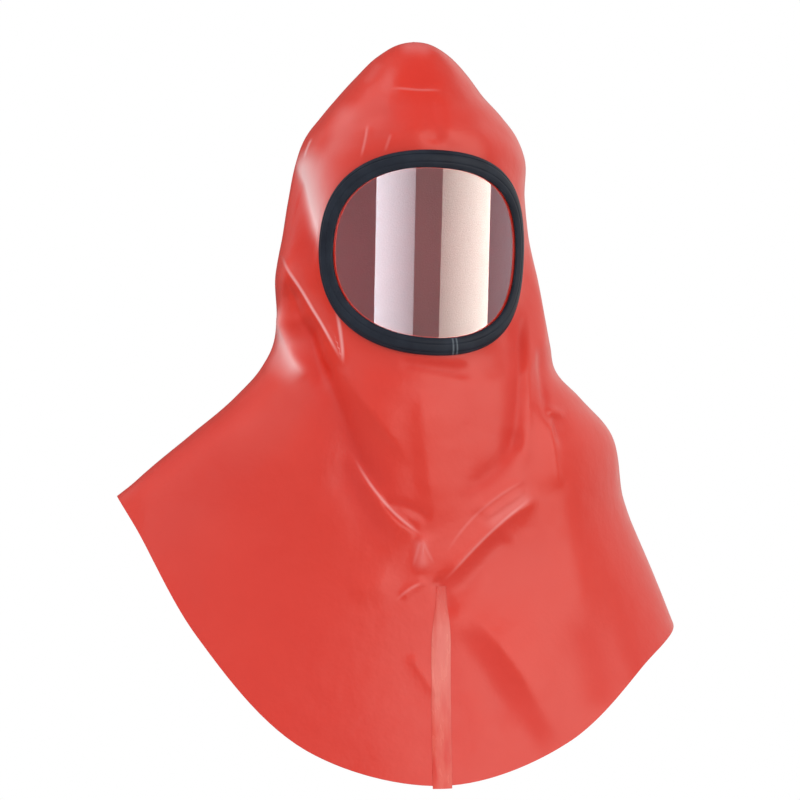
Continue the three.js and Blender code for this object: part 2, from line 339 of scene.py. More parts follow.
def distance(start, end):
    return np.linalg.norm(end - start, axis=-1, keepdims=True) + 1e-9


def span_point(before, start, end, after, t):
    """A point at share t of the way from start to end, on a smooth line through all four."""
    entry, span, exit_span = distance(before, start), distance(start, end), distance(end, after)
    leave = (start - before) / entry - (end - before) / (entry + span) + (end - start) / span
    arrive = (end - start) / span - (after - start) / (span + exit_span) + (after - end) / exit_span
    return ((2 * t**3 - 3 * t**2 + 1) * start + (t**3 - 2 * t**2 + t) * leave * span
            + (3 * t**2 - 2 * t**3) * end + (t**3 - t**2) * arrive * span)


def oval(ring, azimuth, z):
    """Points on an oval whose reach differs to the right, left, front and back."""
    sine, cosine = np.sin(azimuth), np.cos(azimuth)
    x = np.where(sine < 0, ring.right, ring.left) * sine
    y = ring.middle - np.where(cosine > 0, ring.front, ring.back) * cosine
    return np.stack([x, y, np.broadcast_to(z, x.shape)], axis=-1)


def cape_height(ring, azimuth):
    sine, cosine = np.sin(azimuth), np.cos(azimuth)
    deep = np.where(cosine > 0, ring.front_z, ring.back_z)
    side = np.where(sine < 0, ring.right_z, ring.left_z)
    return deep * cosine**2 + side * sine**2


def hem_points(azimuth):
    """Points of the hem, on a closed smooth line through its stations."""
    first = HEM[0].azimuth
    degrees = (np.degrees(azimuth) - first) % 360 + first
    ends = np.array([station.azimuth for station in HEM] + [first + 360], dtype=float)
    stations = np.array([station[1:] for station in HEM], dtype=float)
    k = np.clip(np.searchsorted(ends, degrees, side="right") - 1, 0, len(HEM) - 1)
    share = ((degrees - ends[k]) / (ends[k + 1] - ends[k]))[:, None]
    four = [stations[(k + step) % len(HEM)] for step in (-1, 0, 1, 2)]
    return span_point(*four, share)


def meridians(azimuth):
    """Lines from the crown down to the hem, sampled evenly: rows, columns, xyz."""
    rings = [oval(ring, azimuth, ring.z) for ring in HEAD_RINGS]
    rings += [oval(ring, azimuth, cape_height(ring, azimuth)) for ring in CAPE_RINGS]
    rings.append(hem_points(azimuth))
    lines = [2 * rings[0] - rings[1], *rings, 2 * rings[-1] - rings[-2]]
    fine = [span_point(*four, step / SPAN_STEPS)
            for four in zip(lines, lines[1:], lines[2:], lines[3:]) for step in range(SPAN_STEPS)]
    fine = np.array(fine + [rings[-1]])
    steps = np.linalg.norm(np.diff(fine, axis=0), axis=-1)
    along = np.concatenate([np.zeros((1, len(azimuth))), np.cumsum(steps, axis=0)])
    grid = np.empty((HOOD_ROWS + 1, len(azimuth), 3))
    for column in range(len(azimuth)):
        stops = np.linspace(0, along[-1, column], HOOD_ROWS + 1)
        for axis in range(3):
            grid[:, column, axis] = np.interp(stops, along[:, column], fine[:, column, axis])
    return grid


def grid_normals(grid):
    """Outward normals of a grid whose columns run around and whose rows run down."""
    down = np.gradient(grid, axis=0)
    across = np.roll(grid, -1, axis=1) - np.roll(grid, 1, axis=1)
    normals = np.cross(down, across)
    normals[0] = (0, 0, 1)
    return normals / np.linalg.norm(normals, axis=-1, keepdims=True)


def line_offset(stops, fade, x, z):
    """Distance of points of the drawing plane from a bowed line, negative on its right hand, and
    the line's strength there, which fades over a share of its length at both ends."""
    t = np.linspace(0, 1, FOLD_STEPS + 1)[:, None]
    start, middle, end = np.array(stops, dtype=float).reshape(3, 2)
    control = 2 * middle - (start + end) / 2
    line = (1 - t)**2 * start + 2 * t * (1 - t) * control + t**2 * end
    nearest = np.full(x.shape, np.inf)
    hand = np.zeros(x.shape)
    along = np.zeros(x.shape)
    for k, ((x0, z0), (x1, z1)) in enumerate(zip(line, line[1:])):
        run, rise = x1 - x0, z1 - z0
        share = np.clip(((x - x0) * run + (z - z0) * rise) / (run**2 + rise**2), 0, 1)
        off_x, off_z = x - x0 - share * run, z - z0 - share * rise
        gap = np.hypot(off_x, off_z)
        nearer = gap < nearest
        nearest = np.where(nearer, gap, nearest)
        hand = np.where(nearer, run * off_z - rise * off_x, hand)
        along = np.where(nearer, (k + share) / FOLD_STEPS, along)
    strength = smoothstep(along, 0, fade) * (1 - smoothstep(along, 1 - fade, 1))
    return np.copysign(nearest, hand), strength


def fold_height(fold, x, z):
    """Height of one fold at points of the drawing plane."""
    length = math.hypot(fold.x2 - fold.x0, fold.z2 - fold.z0)
    fade = np.clip(FOLD_END_WIDTHS * max(fold.left, fold.right) / length, *FOLD_ENDS)
    offset, strength = line_offset(fold[:6], fade, x, z)
    width = np.where(offset > 0, fold.left, fold.right)
    rounded = np.hypot(offset, CREST_ROUND) - CREST_ROUND
    return fold.height * strength * np.exp(-((rounded / width)**fold.soft))


def nearest_crease(x, z):
    """Signed distance to the nearest crease and the share of paleness along it."""
    gap = np.full(x.shape, np.inf)
    share = np.zeros(x.shape)
    for crease in CREASES:
        offset, strength = line_offset(crease[:6], CREASE_FADE, x, z)
        nearer = np.abs(offset) < np.abs(gap)
        gap = np.where(nearer, offset, gap)
        share = np.where(nearer, strength * crease.share, share)
    return gap, share * (1 - smoothstep(np.abs(gap), *CREASE_REACH))


def slack_height(points):
    """Slow waves and small ripples of the cloth."""
    height = np.zeros(points.shape[:2])
    for wavelength, size in SLACK:
        waves = [noise.noise(Vector(point) / wavelength) for point in points.reshape(-1, 3)]
        height += size * np.array(waves).reshape(height.shape)
    return height


def back_fold_height(azimuth, share):
    """Soft folds of the back, which open out towards the hem."""
    height = np.zeros((len(share), len(azimuth)))
    for fold in BACK_FOLDS:
        turn = (np.degrees(azimuth) - fold.azimuth + 180) % 360 - 180
        height += fold.height * np.exp(-(turn / fold.width)**2)[None, :]
    return height * smoothstep(share, BACK_FOLD_START, 1)[:, None]


def to_window(points):
    """The window's own coordinates: along the sheet and up the sheet."""
    x, y, z = points[..., 0], points[..., 1], points[..., 2] - WINDOW_Z
    cosine, sine = math.cos(WINDOW_LEAN), math.sin(WINDOW_LEAN)
    along = WINDOW_RADIUS * np.arctan2(x, -(y * cosine + z * sine))
    up = z * cosine - y * sine - WINDOW_RADIUS * sine
    cosine, sine = math.cos(WINDOW_ROLL), math.sin(WINDOW_ROLL)
    return np.stack([along * cosine - up * sine, along * sine + up * cosine], axis=-1)


def from_window(flat, radius):
    """Points at the given radius on the window's cylinder."""
    cosine, sine = math.cos(WINDOW_ROLL), math.sin(WINDOW_ROLL)
    angle = (flat[..., 0] * cosine + flat[..., 1] * sine) / WINDOW_RADIUS
    height = flat[..., 1] * cosine - flat[..., 0] * sine
    cosine, sine = math.cos(WINDOW_LEAN), math.sin(WINDOW_LEAN)
    height = height + WINDOW_RADIUS * sine
    depth = -radius * np.cos(angle)
    y = depth * cosine - height * sine
    z = depth * sine + height * cosine + WINDOW_Z
    return np.stack([radius * np.sin(angle), y, z], axis=-1)


def outline_points(angle, offset):
    """Points of the window's outline, set off outward in the flat sheet."""
    def bend(value, power):
        return np.sign(value) * np.abs(value)**power
    share = bend(np.stack([np.sin(angle), np.cos(angle)], axis=-1), 2 / WINDOW_POWER)
    outward = bend(share, WINDOW_POWER - 1) / WINDOW_HALF
    outward /= np.linalg.norm(outward, axis=-1, keepdims=True)
    return share * WINDOW_HALF + outward * np.asarray(offset)[..., None]


def window_share(points):
    """How far points lie from the window's middle, as a share of its outline."""
    flat = to_window(points)
    share = np.sum(np.abs(flat / WINDOW_HALF)**WINDOW_POWER, axis=-1)**(1 / WINDOW_POWER)
    behind = np.abs(flat[..., 0]) > WINDOW_RADIUS * math.pi / 2
    return np.where(behind, FAR_SHARE, share)


def seated(points):
    """Draws the cloth near the window onto the window's cylinder."""
    pull = 1 - smoothstep(window_share(points), *SEAT_SHARES)
    return points + pull[..., None] * (from_window(to_window(points), WINDOW_RADIUS) - points)


def hood_grids():
    """Grids of points of the hood's outside and inside, and named values for each outside spot."""
    front = np.linspace(-FRONT_SPAN, FRONT_SPAN, FRONT_COLUMNS + 1)
    back = np.linspace(FRONT_SPAN, 360 - FRONT_SPAN, BACK_COLUMNS + 1)[1:-1]
    azimuth = np.radians(np.concatenate([front, back]))
    smooth = seated(meridians(azimuth))
    normals = grid_normals(smooth)
    x, z = smooth @ VIEW_RIGHT, smooth[..., 2]
    in_view = smoothstep(-(normals @ VIEW_FORWARD), *IN_VIEW)
    folds = in_view * sum(fold_height(fold, x, z) for fold in FOLDS)
    # shares of painted highlight (pale, crease) and of painted shade with lost gloss (dull)
    pale = in_view * sum(fold_height(patch, x, z) for patch in PAINTED_HIGHLIGHT_PATCHES)
    dull = in_view * sum(fold_height(band, x, z) for band in DULL_SHADED_BANDS)
    crease_gap, crease = nearest_crease(x, z)
    folds += back_fold_height(azimuth, np.linspace(0, 1, HOOD_ROWS + 1))
    height = folds + slack_height(smooth) * smoothstep(np.arange(HOOD_ROWS + 1), 0, SLACK_ROWS)[:, None]
    height *= smoothstep(window_share(smooth), *FLAT_SHARES)
    steps = range(-INSIDE_NEAR, INSIDE_NEAR + 1)
    deepest = np.min([np.roll(height, (i, j), axis=(0, 1)) for i in steps for j in steps], axis=0)
    outside = smooth + normals * height[..., None]
    inside = smooth + normals * (deepest - WALL)[..., None]
    marks = {"fold": folds, "pale": pale, "dull": dull, "crease_gap": crease_gap,
             "crease": crease * in_view}
    return outside, inside[::INSIDE_STEP, ::INSIDE_STEP], marks


def select_only(piece):
    bpy.ops.object.select_all(action="DESELECT")
    piece.select_set(True)
    bpy.context.view_layer.objects.active = piece


def apply_modifier(piece, kind, **settings):
    select_only(piece)
    modifier = piece.modifiers.new(kind.lower(), kind)
    for name, value in settings.items():
        setattr(modifier, name, value)
    bpy.ops.object.modifier_apply(modifier=modifier.name)


def sheet_object(name, points, faces):
    """A new object from points in millimetres."""
    mesh = bpy.data.meshes.new(name)
    mesh.from_pydata((points * MM).tolist(), [], faces)
    mesh.validate()
    piece = bpy.data.objects.new(name, mesh)
    bpy.context.scene.collection.objects.link(piece)
    return piece


def corners_of(piece):
    return np.array([corner.co for corner in piece.data.vertices])


def move_corners(piece, spots):
    """Moves every corner of a piece to its spot in millimetres."""
    piece.data.vertices.foreach_set("co", (spots * MM).ravel())
    piece.data.update()


def window_sheet(name, cells, offset, radius, thickness):
    """A square grid rounded to the window's outline, bent to its cylinder and given a wall."""
    bpy.ops.object.select_all(action="DESELECT")
    bpy.ops.mesh.primitive_grid_add(x_subdivisions=cells[0], y_subdivisions=cells[1], size=2)
    sheet = bpy.context.object
    sheet.name = name
    x, y, _ = corners_of(sheet).T
    round_x = x * np.sqrt(1 - y**2 / 2)
    round_y = y * np.sqrt(1 - x**2 / 2)
    outline = outline_points(np.arctan2(round_x, round_y), np.full(x.shape, offset))
    move_corners(sheet, from_window(outline * np.hypot(round_x, round_y)[:, None], radius))
    apply_modifier(sheet, "SOLIDIFY", thickness=thickness * MM, offset=1, use_even_offset=True)
    bpy.ops.object.shade_smooth_by_angle(angle=SHEET_ANGLE)
    return sheet


def cap_faces(rows, columns, first):
    """Faces of a grid of corners that starts with one corner at the crown."""
    ring = np.arange(rows * columns).reshape(rows, columns) + first + 1
    after = np.roll(ring, -1, axis=1)
    faces = [(first, a, b) for a, b in zip(ring[0], after[0])]
    quads = np.stack([ring[:-1], ring[1:], after[1:], after[:-1]], axis=-1)
    return faces + quads.reshape(-1, 4).tolist(), ring[-1]


def make_hood(outside, inside, marks):
    """The cloth: an outer and an inner face joined at the hem, with the window opening cut out."""
    outer = np.concatenate([outside[0, :1], outside[1:].reshape(-1, 3)])
    inner = np.concatenate([inside[0, :1], inside[1:].reshape(-1, 3)])
    outer_faces, outer_hem = cap_faces(len(outside) - 1, outside.shape[1], 0)
    inner_faces, inner_hem = cap_faces(len(inside) - 1, inside.shape[1], len(outer))
    count = len(outer_hem)
    hem_faces = [
        (inner_hem[k], inner_hem[(k + 1) % len(inner_hem)],
         *(outer_hem[(k * INSIDE_STEP + step) % count] for step in range(INSIDE_STEP, -1, -1)))
        for k in range(len(inner_hem))]
    faces = outer_faces + inner_faces + hem_faces
    hood = sheet_object("hood_cloth", np.concatenate([outer, inner]), faces)
    for name, values in marks.items():
        attribute = hood.data.attributes.new(name, "FLOAT", "POINT")
        spots = np.concatenate([values[0, :1], values[1:].ravel(), np.zeros(len(inner))])
        attribute.data.foreach_set("value", spots)
    lining = np.zeros(len(hood.data.polygons), dtype=int)
    lining[len(outer_faces):len(outer_faces) + len(inner_faces)] = 1
    hood.data.polygons.foreach_set("material_index", lining)
    sheet = bmesh.new()
    sheet.from_mesh(hood.data)
    bmesh.ops.recalc_face_normals(sheet, faces=sheet.faces)
    sheet.to_mesh(hood.data)
    sheet.free()
    cutter = window_sheet("opening_cutter", OPENING_CELLS, OPENING_OFFSET,
                          WINDOW_RADIUS - OPENING_DEPTH, 2 * OPENING_DEPTH)
    apply_modifier(hood, "BOOLEAN", object=cutter, operation="DIFFERENCE")
    bpy.data.objects.remove(cutter)
    select_only(hood)
    bpy.ops.object.shade_smooth_by_angle(angle=SHEET_ANGLE)
    return hood


def make_gasket():
    """The rubber strip: a round band extruded ring by ring, then laid on the window's outline."""
    bpy.ops.object.select_all(action="DESELECT")
    across, up = STRIP_SECTION[0]
    bpy.ops.mesh.primitive_circle_add(
        vertices=STRIP_STATIONS, radius=STRIP_BASE + across, location=(0, 0, up))
    gasket = bpy.context.object
    gasket.name = "window_strip"
    bpy.ops.object.transform_apply(location=True, rotation=False, scale=False)
    bpy.ops.object.mode_set(mode="EDIT")
    bpy.ops.mesh.select_all(action="SELECT")
    for (across, up), (next_across, next_up) in zip(STRIP_SECTION, STRIP_SECTION[1:]):
        grow = (STRIP_BASE + next_across) / (STRIP_BASE + across)
        bpy.ops.mesh.extrude_region_move(TRANSFORM_OT_translate={"value": (0, 0, next_up - up)})
        bpy.ops.transform.resize(value=(grow, grow, 1), center_override=(0, 0, 0))
    bpy.ops.mesh.select_all(action="DESELECT")
    bpy.ops.mesh.select_non_manifold(extend=False)
    bpy.ops.mesh.bridge_edge_loops()
    bpy.ops.object.mode_set(mode="OBJECT")
    x, y, up = corners_of(gasket).T
    turn = np.arctan2(x, y)
    off = (turn - JOINT_ANGLE + math.pi) % (2 * math.pi) - math.pi
    crowded = off * (1 - JOINT_CROWDING * np.exp(-(off / JOINT_REACH)**2))
    aside = crowded * WINDOW_HALF[0]
    lips = sum(np.exp(-((aside - side) / JOINT_LIP)**2)
               for side in (-JOINT_HALF_GAP, JOINT_HALF_GAP)) * smoothstep(up, *JOINT_LIP_HEIGHTS)
    flat = outline_points(JOINT_ANGLE + crowded, np.hypot(x, y) - STRIP_BASE)
    move_corners(gasket, from_window(flat, WINDOW_RADIUS + up + JOINT_RISE * lips))
    gasket.data.attributes.new("lip", "FLOAT", "POINT").data.foreach_set("value", lips)
    select_only(gasket)
    bpy.ops.object.mode_set(mode="EDIT")
    bpy.ops.mesh.select_all(action="SELECT")
    bpy.ops.mesh.normals_make_consistent(inside=False)
    bpy.ops.object.mode_set(mode="OBJECT")
    bpy.ops.object.shade_smooth_by_angle(angle=STRIP_ANGLE)
    return gasket


def make_tape(outside):
    """The tape, laid on the cloth down the centre front and hanging a little past the hem."""
    centre = FRONT_COLUMNS // 2
    near = outside[:, centre - TAPE_NEAR:centre + TAPE_NEAR + 1]
    rows = near[near[:, TAPE_NEAR, 2] < TAPE_TOP_Z]
    strip = []
    for row, share in zip(rows, np.linspace(1, 0, len(rows))):
        half = TAPE_TOP_HALF + (TAPE_HALF - TAPE_TOP_HALF) * smoothstep(1 - share, 0, TAPE_WIDENS)
        x = TAPE_TOP_X * share + half * np.linspace(-1, 1, TAPE_COLUMNS + 1)
        y, z = (np.interp(x, row[:, 0], row[:, axis]) for axis in (1, 2))
        strip.append(np.stack([x, y, z], axis=-1))
    strip = np.array(strip)
    drop = strip[-1] - strip[-2]
    drop *= TAPE_OVERHANG / np.linalg.norm(drop, axis=-1, keepdims=True)
    strip = np.concatenate([strip, (strip[-1] + drop)[None]])
    normals = np.cross(np.gradient(strip, axis=0), np.gradient(strip, axis=1))
    normals /= np.linalg.norm(normals, axis=-1, keepdims=True)
    wide, high = TAPE_CRUMPLE
    crumple = [noise.noise(Vector((x / wide, z / high, TAPE_NOISE_LAYER)))
               for x, _, z in strip.reshape(-1, 3)]
    dome = 1 - np.linspace(-1, 1, TAPE_COLUMNS + 1)**4
    lift = TAPE_LIFT * dome * (1 + np.array(crumple).reshape(strip.shape[:2]))
    strip = strip + normals * (TAPE_GAP + lift)[..., None]
    count = TAPE_COLUMNS + 1
    faces = [(i * count + j, (i + 1) * count + j, (i + 1) * count + j + 1, i * count + j + 1)
             for i in range(len(strip) - 1) for j in range(TAPE_COLUMNS)]
    tape = sheet_object("front_tape", strip.reshape(-1, 3), faces)
    apply_modifier(tape, "SOLIDIFY", thickness=TAPE_WALL * MM, offset=1, use_even_offset=True)
    bpy.ops.object.shade_smooth_by_angle(angle=SHEET_ANGLE)
    return tape


def linear(colour):
    """A linear colour, with full alpha, from an sRGB hex value."""
    parts = [int(colour[k:k + 2], 16) / 255 for k in (1, 3, 5)]
    red, green, blue = (
        part / 12.92 if part <= 0.04045 else ((part + 0.055) / 1.055)**2.4 for part in parts)
    return red, green, blue, 1.0


def node(tree, kind, inputs=None, **settings):
    """Adds a node; its inputs are plain values or the sockets of other nodes."""
    made = tree.nodes.new("ShaderNode" + kind)
    for name, value in settings.items():
        setattr(made, name, value)
    for name, value in (inputs or {}).items():
        if isinstance(value, bpy.types.NodeSocket):
            tree.links.new(value, made.inputs[name])
        else:
            made.inputs[name].default_value = value
    return made


def new_material(name):
    material = bpy.data.materials.new(name)
    material.use_nodes = True
    material.node_tree.nodes.clear()
    return material


def finish_material(material, inputs):
    tree = material.node_tree
    surface = node(tree, "BsdfPrincipled", inputs)
    node(tree, "OutputMaterial", {"Surface": surface.outputs[0]})
    return material


def coated_cloth():
    """Woven polyester under a calendered vinyl film: an even, saturated red-orange with a
    half-gloss skin. Painted highlights pale the film in patches and in fine lines along
    creases; painted shade deepens the red in the folds' valleys and in bands where it is also
    duller, and its gloss is slightly uneven. The weave shows through as a faint grain."""
    material = new_material("calendered_vinyl_coated_polyester")
    tree = material.node_tree
    place = node(tree, "TexCoord").outputs["Object"]
    # painted shade: the red is deeper down in the folds' valleys and lighter on their ridges
    fold = node(tree, "Attribute", attribute_name="fold").outputs["Fac"]
    fold_shade = node(tree, "MapRange", {"Value": fold, "From Min": -9.0, "From Max": 6.0}).outputs[0]
    cloud = node(tree, "TexNoise", {"Vector": place, "Scale": 1 / 0.09, "Detail": 3.0}).outputs["Fac"]
    hue = node(tree, "Mix", {
        0: fold_shade, 6: linear("#d02312"), 7: linear("#dc2d18")}, data_type="RGBA").outputs[2]
    tone = node(tree, "MapRange", {
        "Value": cloud, "From Min": 0.35, "From Max": 0.65, "To Max": 0.22}).outputs[0]
    colour = node(tree, "Mix", {0: tone, 6: hue, 7: linear("#de3822")}, data_type="RGBA").outputs[2]
    # painted highlights: the film is drawn paler in broad patches and in fine lines on the creases
    pale = node(tree, "Attribute", attribute_name="pale").outputs["Fac"]
    crease = node(tree, "Attribute", attribute_name="crease").outputs["Fac"]
    gap = node(tree, "Attribute", attribute_name="crease_gap").outputs["Fac"]
    near = node(tree, "Math", {0: gap}, operation="ABSOLUTE").outputs[0]
    line = node(tree, "MapRange", {
        "Value": near, "From Max": CREASE_WIDTH, "To Min": 1.0, "To Max": 0.0},
        interpolation_type="SMOOTHSTEP").outputs[0]
    painted_highlight = node(tree, "Math", {0: line, 1: crease, 2: pale}, operation="MULTIPLY_ADD").outputs[0]
    colour = node(tree, "Mix", {
        0: painted_highlight, 6: colour, 7: linear("#ffcccc")}, data_type="RGBA").outputs[2]
    # painted shade: the red is deeper in the bands, which are also rougher
    dull = node(tree, "Attribute", attribute_name="dull").outputs["Fac"]
    colour = node(tree, "Mix", {
        0: dull, 6: colour, 7: linear("#d62817")}, data_type="RGBA").outputs[2]
    # gloss varies over about 15 mm, as the film lies on the weave
    gloss = node(tree, "TexNoise", {"Vector": place, "Scale": 1 / 0.015, "Detail": 2.0}).outputs["Fac"]
    skin = node(tree, "MapRange", {"Value": gloss, "To Min": 0.28, "To Max": 0.4}).outputs[0]
    roughness = node(tree, "Mix", {0: dull, 2: skin, 3: 0.9}).outputs[0]
    # the threads are about 0.6 mm apart, too fine to show, so their grain is drawn 4 mm wide
    grain = node(tree, "TexNoise", {"Vector": place, "Scale": 1 / 0.004, "Detail": 1.0}).outputs["Fac"]
    # shallow crumples about 25 mm across, left by handling and packing
    crumple = node(tree, "TexNoise", {
        "Vector": place, "Scale": 1 / 0.025, "Detail": 3.0, "Roughness": 0.6}).outputs["Fac"]
    crumpled = node(tree, "Bump", {
        "Height": crumple, "Strength": 0.25, "Distance": 0.0025}).outputs[0]
    bump = node(tree, "Bump", {
        "Height": grain, "Strength": 0.06, "Distance": 0.0006, "Normal": crumpled}).outputs[0]
    return finish_material(material, {
        "Base Color": colour, "Roughness": roughness, "Normal": bump, "IOR": 1.53,
        "Specular IOR Level": 0.6})


def woven_backing():
    """The cloth's uncoated inside: dyed polyester weave, dull and darker than the film."""
    material = new_material("dyed_woven_polyester_backing")
    tree = material.node_tree
    place = node(tree, "TexCoord").outputs["Object"]
    # the threads are about 0.6 mm apart, too fine to show, so they are drawn as 1.8 mm flecks
    flecks = node(tree, "TexVoronoi", {"Vector": place, "Scale": 1 / 0.0018}).outputs["Distance"]
    colour = node(tree, "Mix", {
        0: flecks, 6: linear("#c44c53"), 7: linear("#b0404a")}, data_type="RGBA").outputs[2]
    bump = node(tree, "Bump", {"Height": flecks, "Strength": 0.3, "Distance": 0.0004}).outputs[0]
    return finish_material(material, {"Base Color": colour, "Roughness": 0.8, "Normal": bump})


def strip_rubber():
    """Extruded rubber: blue-black and dull, with a greyer bloom, and a painted highlight on the
    lips of its joint."""
    material = new_material("extruded_black_rubber")
    tree = material.node_tree
    place = node(tree, "TexCoord").outputs["Object"]
    bloom = node(tree, "TexNoise", {"Vector": place, "Scale": 1 / 0.02, "Detail": 4.0}).outputs["Fac"]
    share = node(tree, "MapRange", {"Value": bloom, "From Min": 0.35, "From Max": 0.7}).outputs[0]
    colour = node(tree, "Mix", {
        0: share, 6: linear("#191e2a"), 7: linear("#232a36")}, data_type="RGBA").outputs[2]
    # painted highlight: the lips of the joint are drawn pale
    lip = node(tree, "Attribute", attribute_name="lip").outputs["Fac"]
    colour = node(tree, "Mix", {0: lip, 6: colour, 7: linear("#68717a")}, data_type="RGBA").outputs[2]
    roughness = node(tree, "MapRange", {"Value": bloom, "To Min": 0.42, "To Max": 0.6}).outputs[0]
    grain = node(tree, "TexNoise", {"Vector": place, "Scale": 1 / 0.0012, "Detail": 2.0}).outputs["Fac"]
    bump = node(tree, "Bump", {"Height": grain, "Strength": 0.08, "Distance": 0.0004}).outputs[0]
    return finish_material(material, {
        "Base Color": colour, "Roughness": roughness, "Normal": bump, "IOR": 1.52,
        "Specular IOR Level": 0.25})


def visor_plastic():
    """Extruded clear polycarbonate sheet: water-clear and glossy, with a trace of haze."""
    material = new_material("extruded_clear_polycarbonate")
    tree = material.node_tree
    place = node(tree, "TexCoord").outputs["Object"]
    haze = node(tree, "TexNoise", {"Vector": place, "Scale": 1 / 0.03, "Detail": 3.0}).outputs["Fac"]
    roughness = node(tree, "MapRange", {"Value": haze, "To Min": 0.0, "To Max": 0.03}).outputs[0]
    return finish_material(material, {
        "Base Color": linear("#fbfcfd"), "Roughness": roughness, "IOR": 1.58,
        "Transmission Weight": 1.0})


def tape_vinyl():
    """Unbacked vinyl tape, heat-welded: the cloth's colour but glossier, with painted highlights."""
    material = new_material("welded_vinyl_tape")
    tree = material.node_tree
    place = node(tree, "TexCoord").outputs["Object"]
    # the weld's streaks are about 7 mm wide and 60 mm long; their paler tone is partly painted
    # highlight
    streaks = node(tree, "Mapping", {
        "Vector": place, "Scale": (1 / 0.007, 1 / 0.007, 1 / 0.06)}).outputs[0]
    melt = node(tree, "TexNoise", {"Vector": streaks, "Scale": 1.0, "Detail": 2.0}).outputs["Fac"]
    share = node(tree, "MapRange", {
        "Value": melt, "From Min": 0.25, "From Max": 0.75},
        interpolation_type="SMOOTHSTEP").outputs[0]
    colour = node(tree, "Mix", {
        0: share, 6: linear("#d6362a"), 7: linear("#df5849")}, data_type="RGBA").outputs[2]
    # a painted highlight makes the tape whitest at one height
    height = node(tree, "SeparateXYZ", {0: place}).outputs[2]
    above = node(tree, "Math", {0: height, 1: TAPE_HIGHLIGHT_Z}, operation="SUBTRACT").outputs[0]
    away = node(tree, "Math", {0: above}, operation="ABSOLUTE").outputs[0]
    white = node(tree, "MapRange", {
        "Value": away, "From Min": TAPE_HIGHLIGHT_REACH[0], "From Max": TAPE_HIGHLIGHT_REACH[1],
        "To Min": 0.35, "To Max": 0.0}).outputs[0]
    colour = node(tree, "Mix", {
        0: white, 6: colour, 7: linear("#eb948a")}, data_type="RGBA").outputs[2]
    # at its top end it has melted into the cloth
    melted = node(tree, "MapRange", {
        "Value": height, "From Min": TAPE_MELT_Z[0], "From Max": TAPE_MELT_Z[1],
        "To Max": 0.9}).outputs[0]
    colour = node(tree, "Mix", {
        0: melted, 6: colour, 7: linear("#cf2714")}, data_type="RGBA").outputs[2]
    roughness = node(tree, "MapRange", {"Value": melt, "To Min": 0.18, "To Max": 0.34}).outputs[0]
    return finish_material(material, {"Base Color": colour, "Roughness": roughness, "IOR": 1.53})


def floor_paint():
    """Rolled pale grey floor paint: matt and even, with a trace of roller texture."""
    material = new_material("matt_rolled_grey_paint")
    tree = material.node_tree
    place = node(tree, "TexCoord").outputs["Object"]
    roll = node(tree, "TexNoise", {"Vector": place, "Scale": 1 / 0.4, "Detail": 2.0}).outputs["Fac"]
    colour = node(tree, "Mix", {
        0: roll, 6: linear("#c6c6c5"), 7: linear("#d0d0cf")}, data_type="RGBA").outputs[2]
    return finish_material(material, {"Base Color": colour, "Roughness": 0.7})


# Studio floor, in metres
FLOOR_Z = -1.2
FLOOR_RADIUS = 2.2
FLOOR_SIDES = 96

# Soft lights, as panels around the hood: left and right azimuth from the front, low and high
# elevation in degrees, distance in metres, radiance, the share by which the right edge is
# brighter than the middle, and colour. A matt light leaves no mirror image, and a gloss light
# is seen in mirror images alone. The window's lights reach the clear sheet alone, which mirrors
# them as upright bands.
SoftLight = namedtuple("SoftLight", "name left right low high distance radiance tilt colour shows")
ROOM_LIGHTS = [SoftLight(*row) for row in (
    ("front_softbox", 4, 66, -14, 24, 2.6, 1.75, 0, "#fff8f0", "all"),
    ("left_front_fill", -75, -5, -25, 35, 2.6, 0.75, 0, "#ffffff", "matt"),
    ("right_fill", 60, 140, 26, 62, 2.4, 1.15, 0, "#fffaf4", "matt"),
    ("left_fill", -140, -50, 26, 64, 2.4, 1.85, 0, "#ffffff", "matt"),
    ("left_front_sheen", -45, 4, 4, 30, 2.6, 0.15, 0, "#ffffff", "gloss"),
    ("right_wall", 82, 150, -12, 45, 2.4, 0.85, 0, "#fffaf4", "gloss"),
    ("left_rim", -156, -130, -8, 26, 2.6, 0.35, 0, "#ffffff", "gloss"),
    ("left_crown_sheen", -115, -80, 46, 64, 2.6, 0.8, 0, "#ffffff", "gloss"),
)]
WINDOW_LIGHTS = [SoftLight(*row) for row in (
    ("left_room", -90, -43, -14, 2, 3.0, 0.32, 0, "#f4f4ff", "gloss"),
    ("left_band", -43, -6, -14, 2, 3.0, 5.6, -0.46, "#f8f6ff", "gloss"),
    ("middle_room", -6, 20, -14, 2, 3.0, 0.5, 0, "#fff8f4", "gloss"),
    ("right_band", 20, 73, -14, 4, 2.6, 6.6, 0.52, "#fff4e8", "gloss"),
    ("right_room", 73, 112, -14, 4, 2.6, 0.7, 0, "#f4f4ff", "gloss"),
)]
LIGHT_TARGET = Vector((0, -0.1, -0.2))
# The studio is paler above than below, darker behind the hood, and white where it is seen bare
ROOM_LOW = 0.3
ROOM_HIGH = 0.42
ROOM_BEHIND = 0.4
BACKDROP = 1.0
# Upward and rearward parts of a direction between which the studio changes
ROOM_RISE = (-0.2, 0.45)
ROOM_DEPTH = (0.2, 0.7)


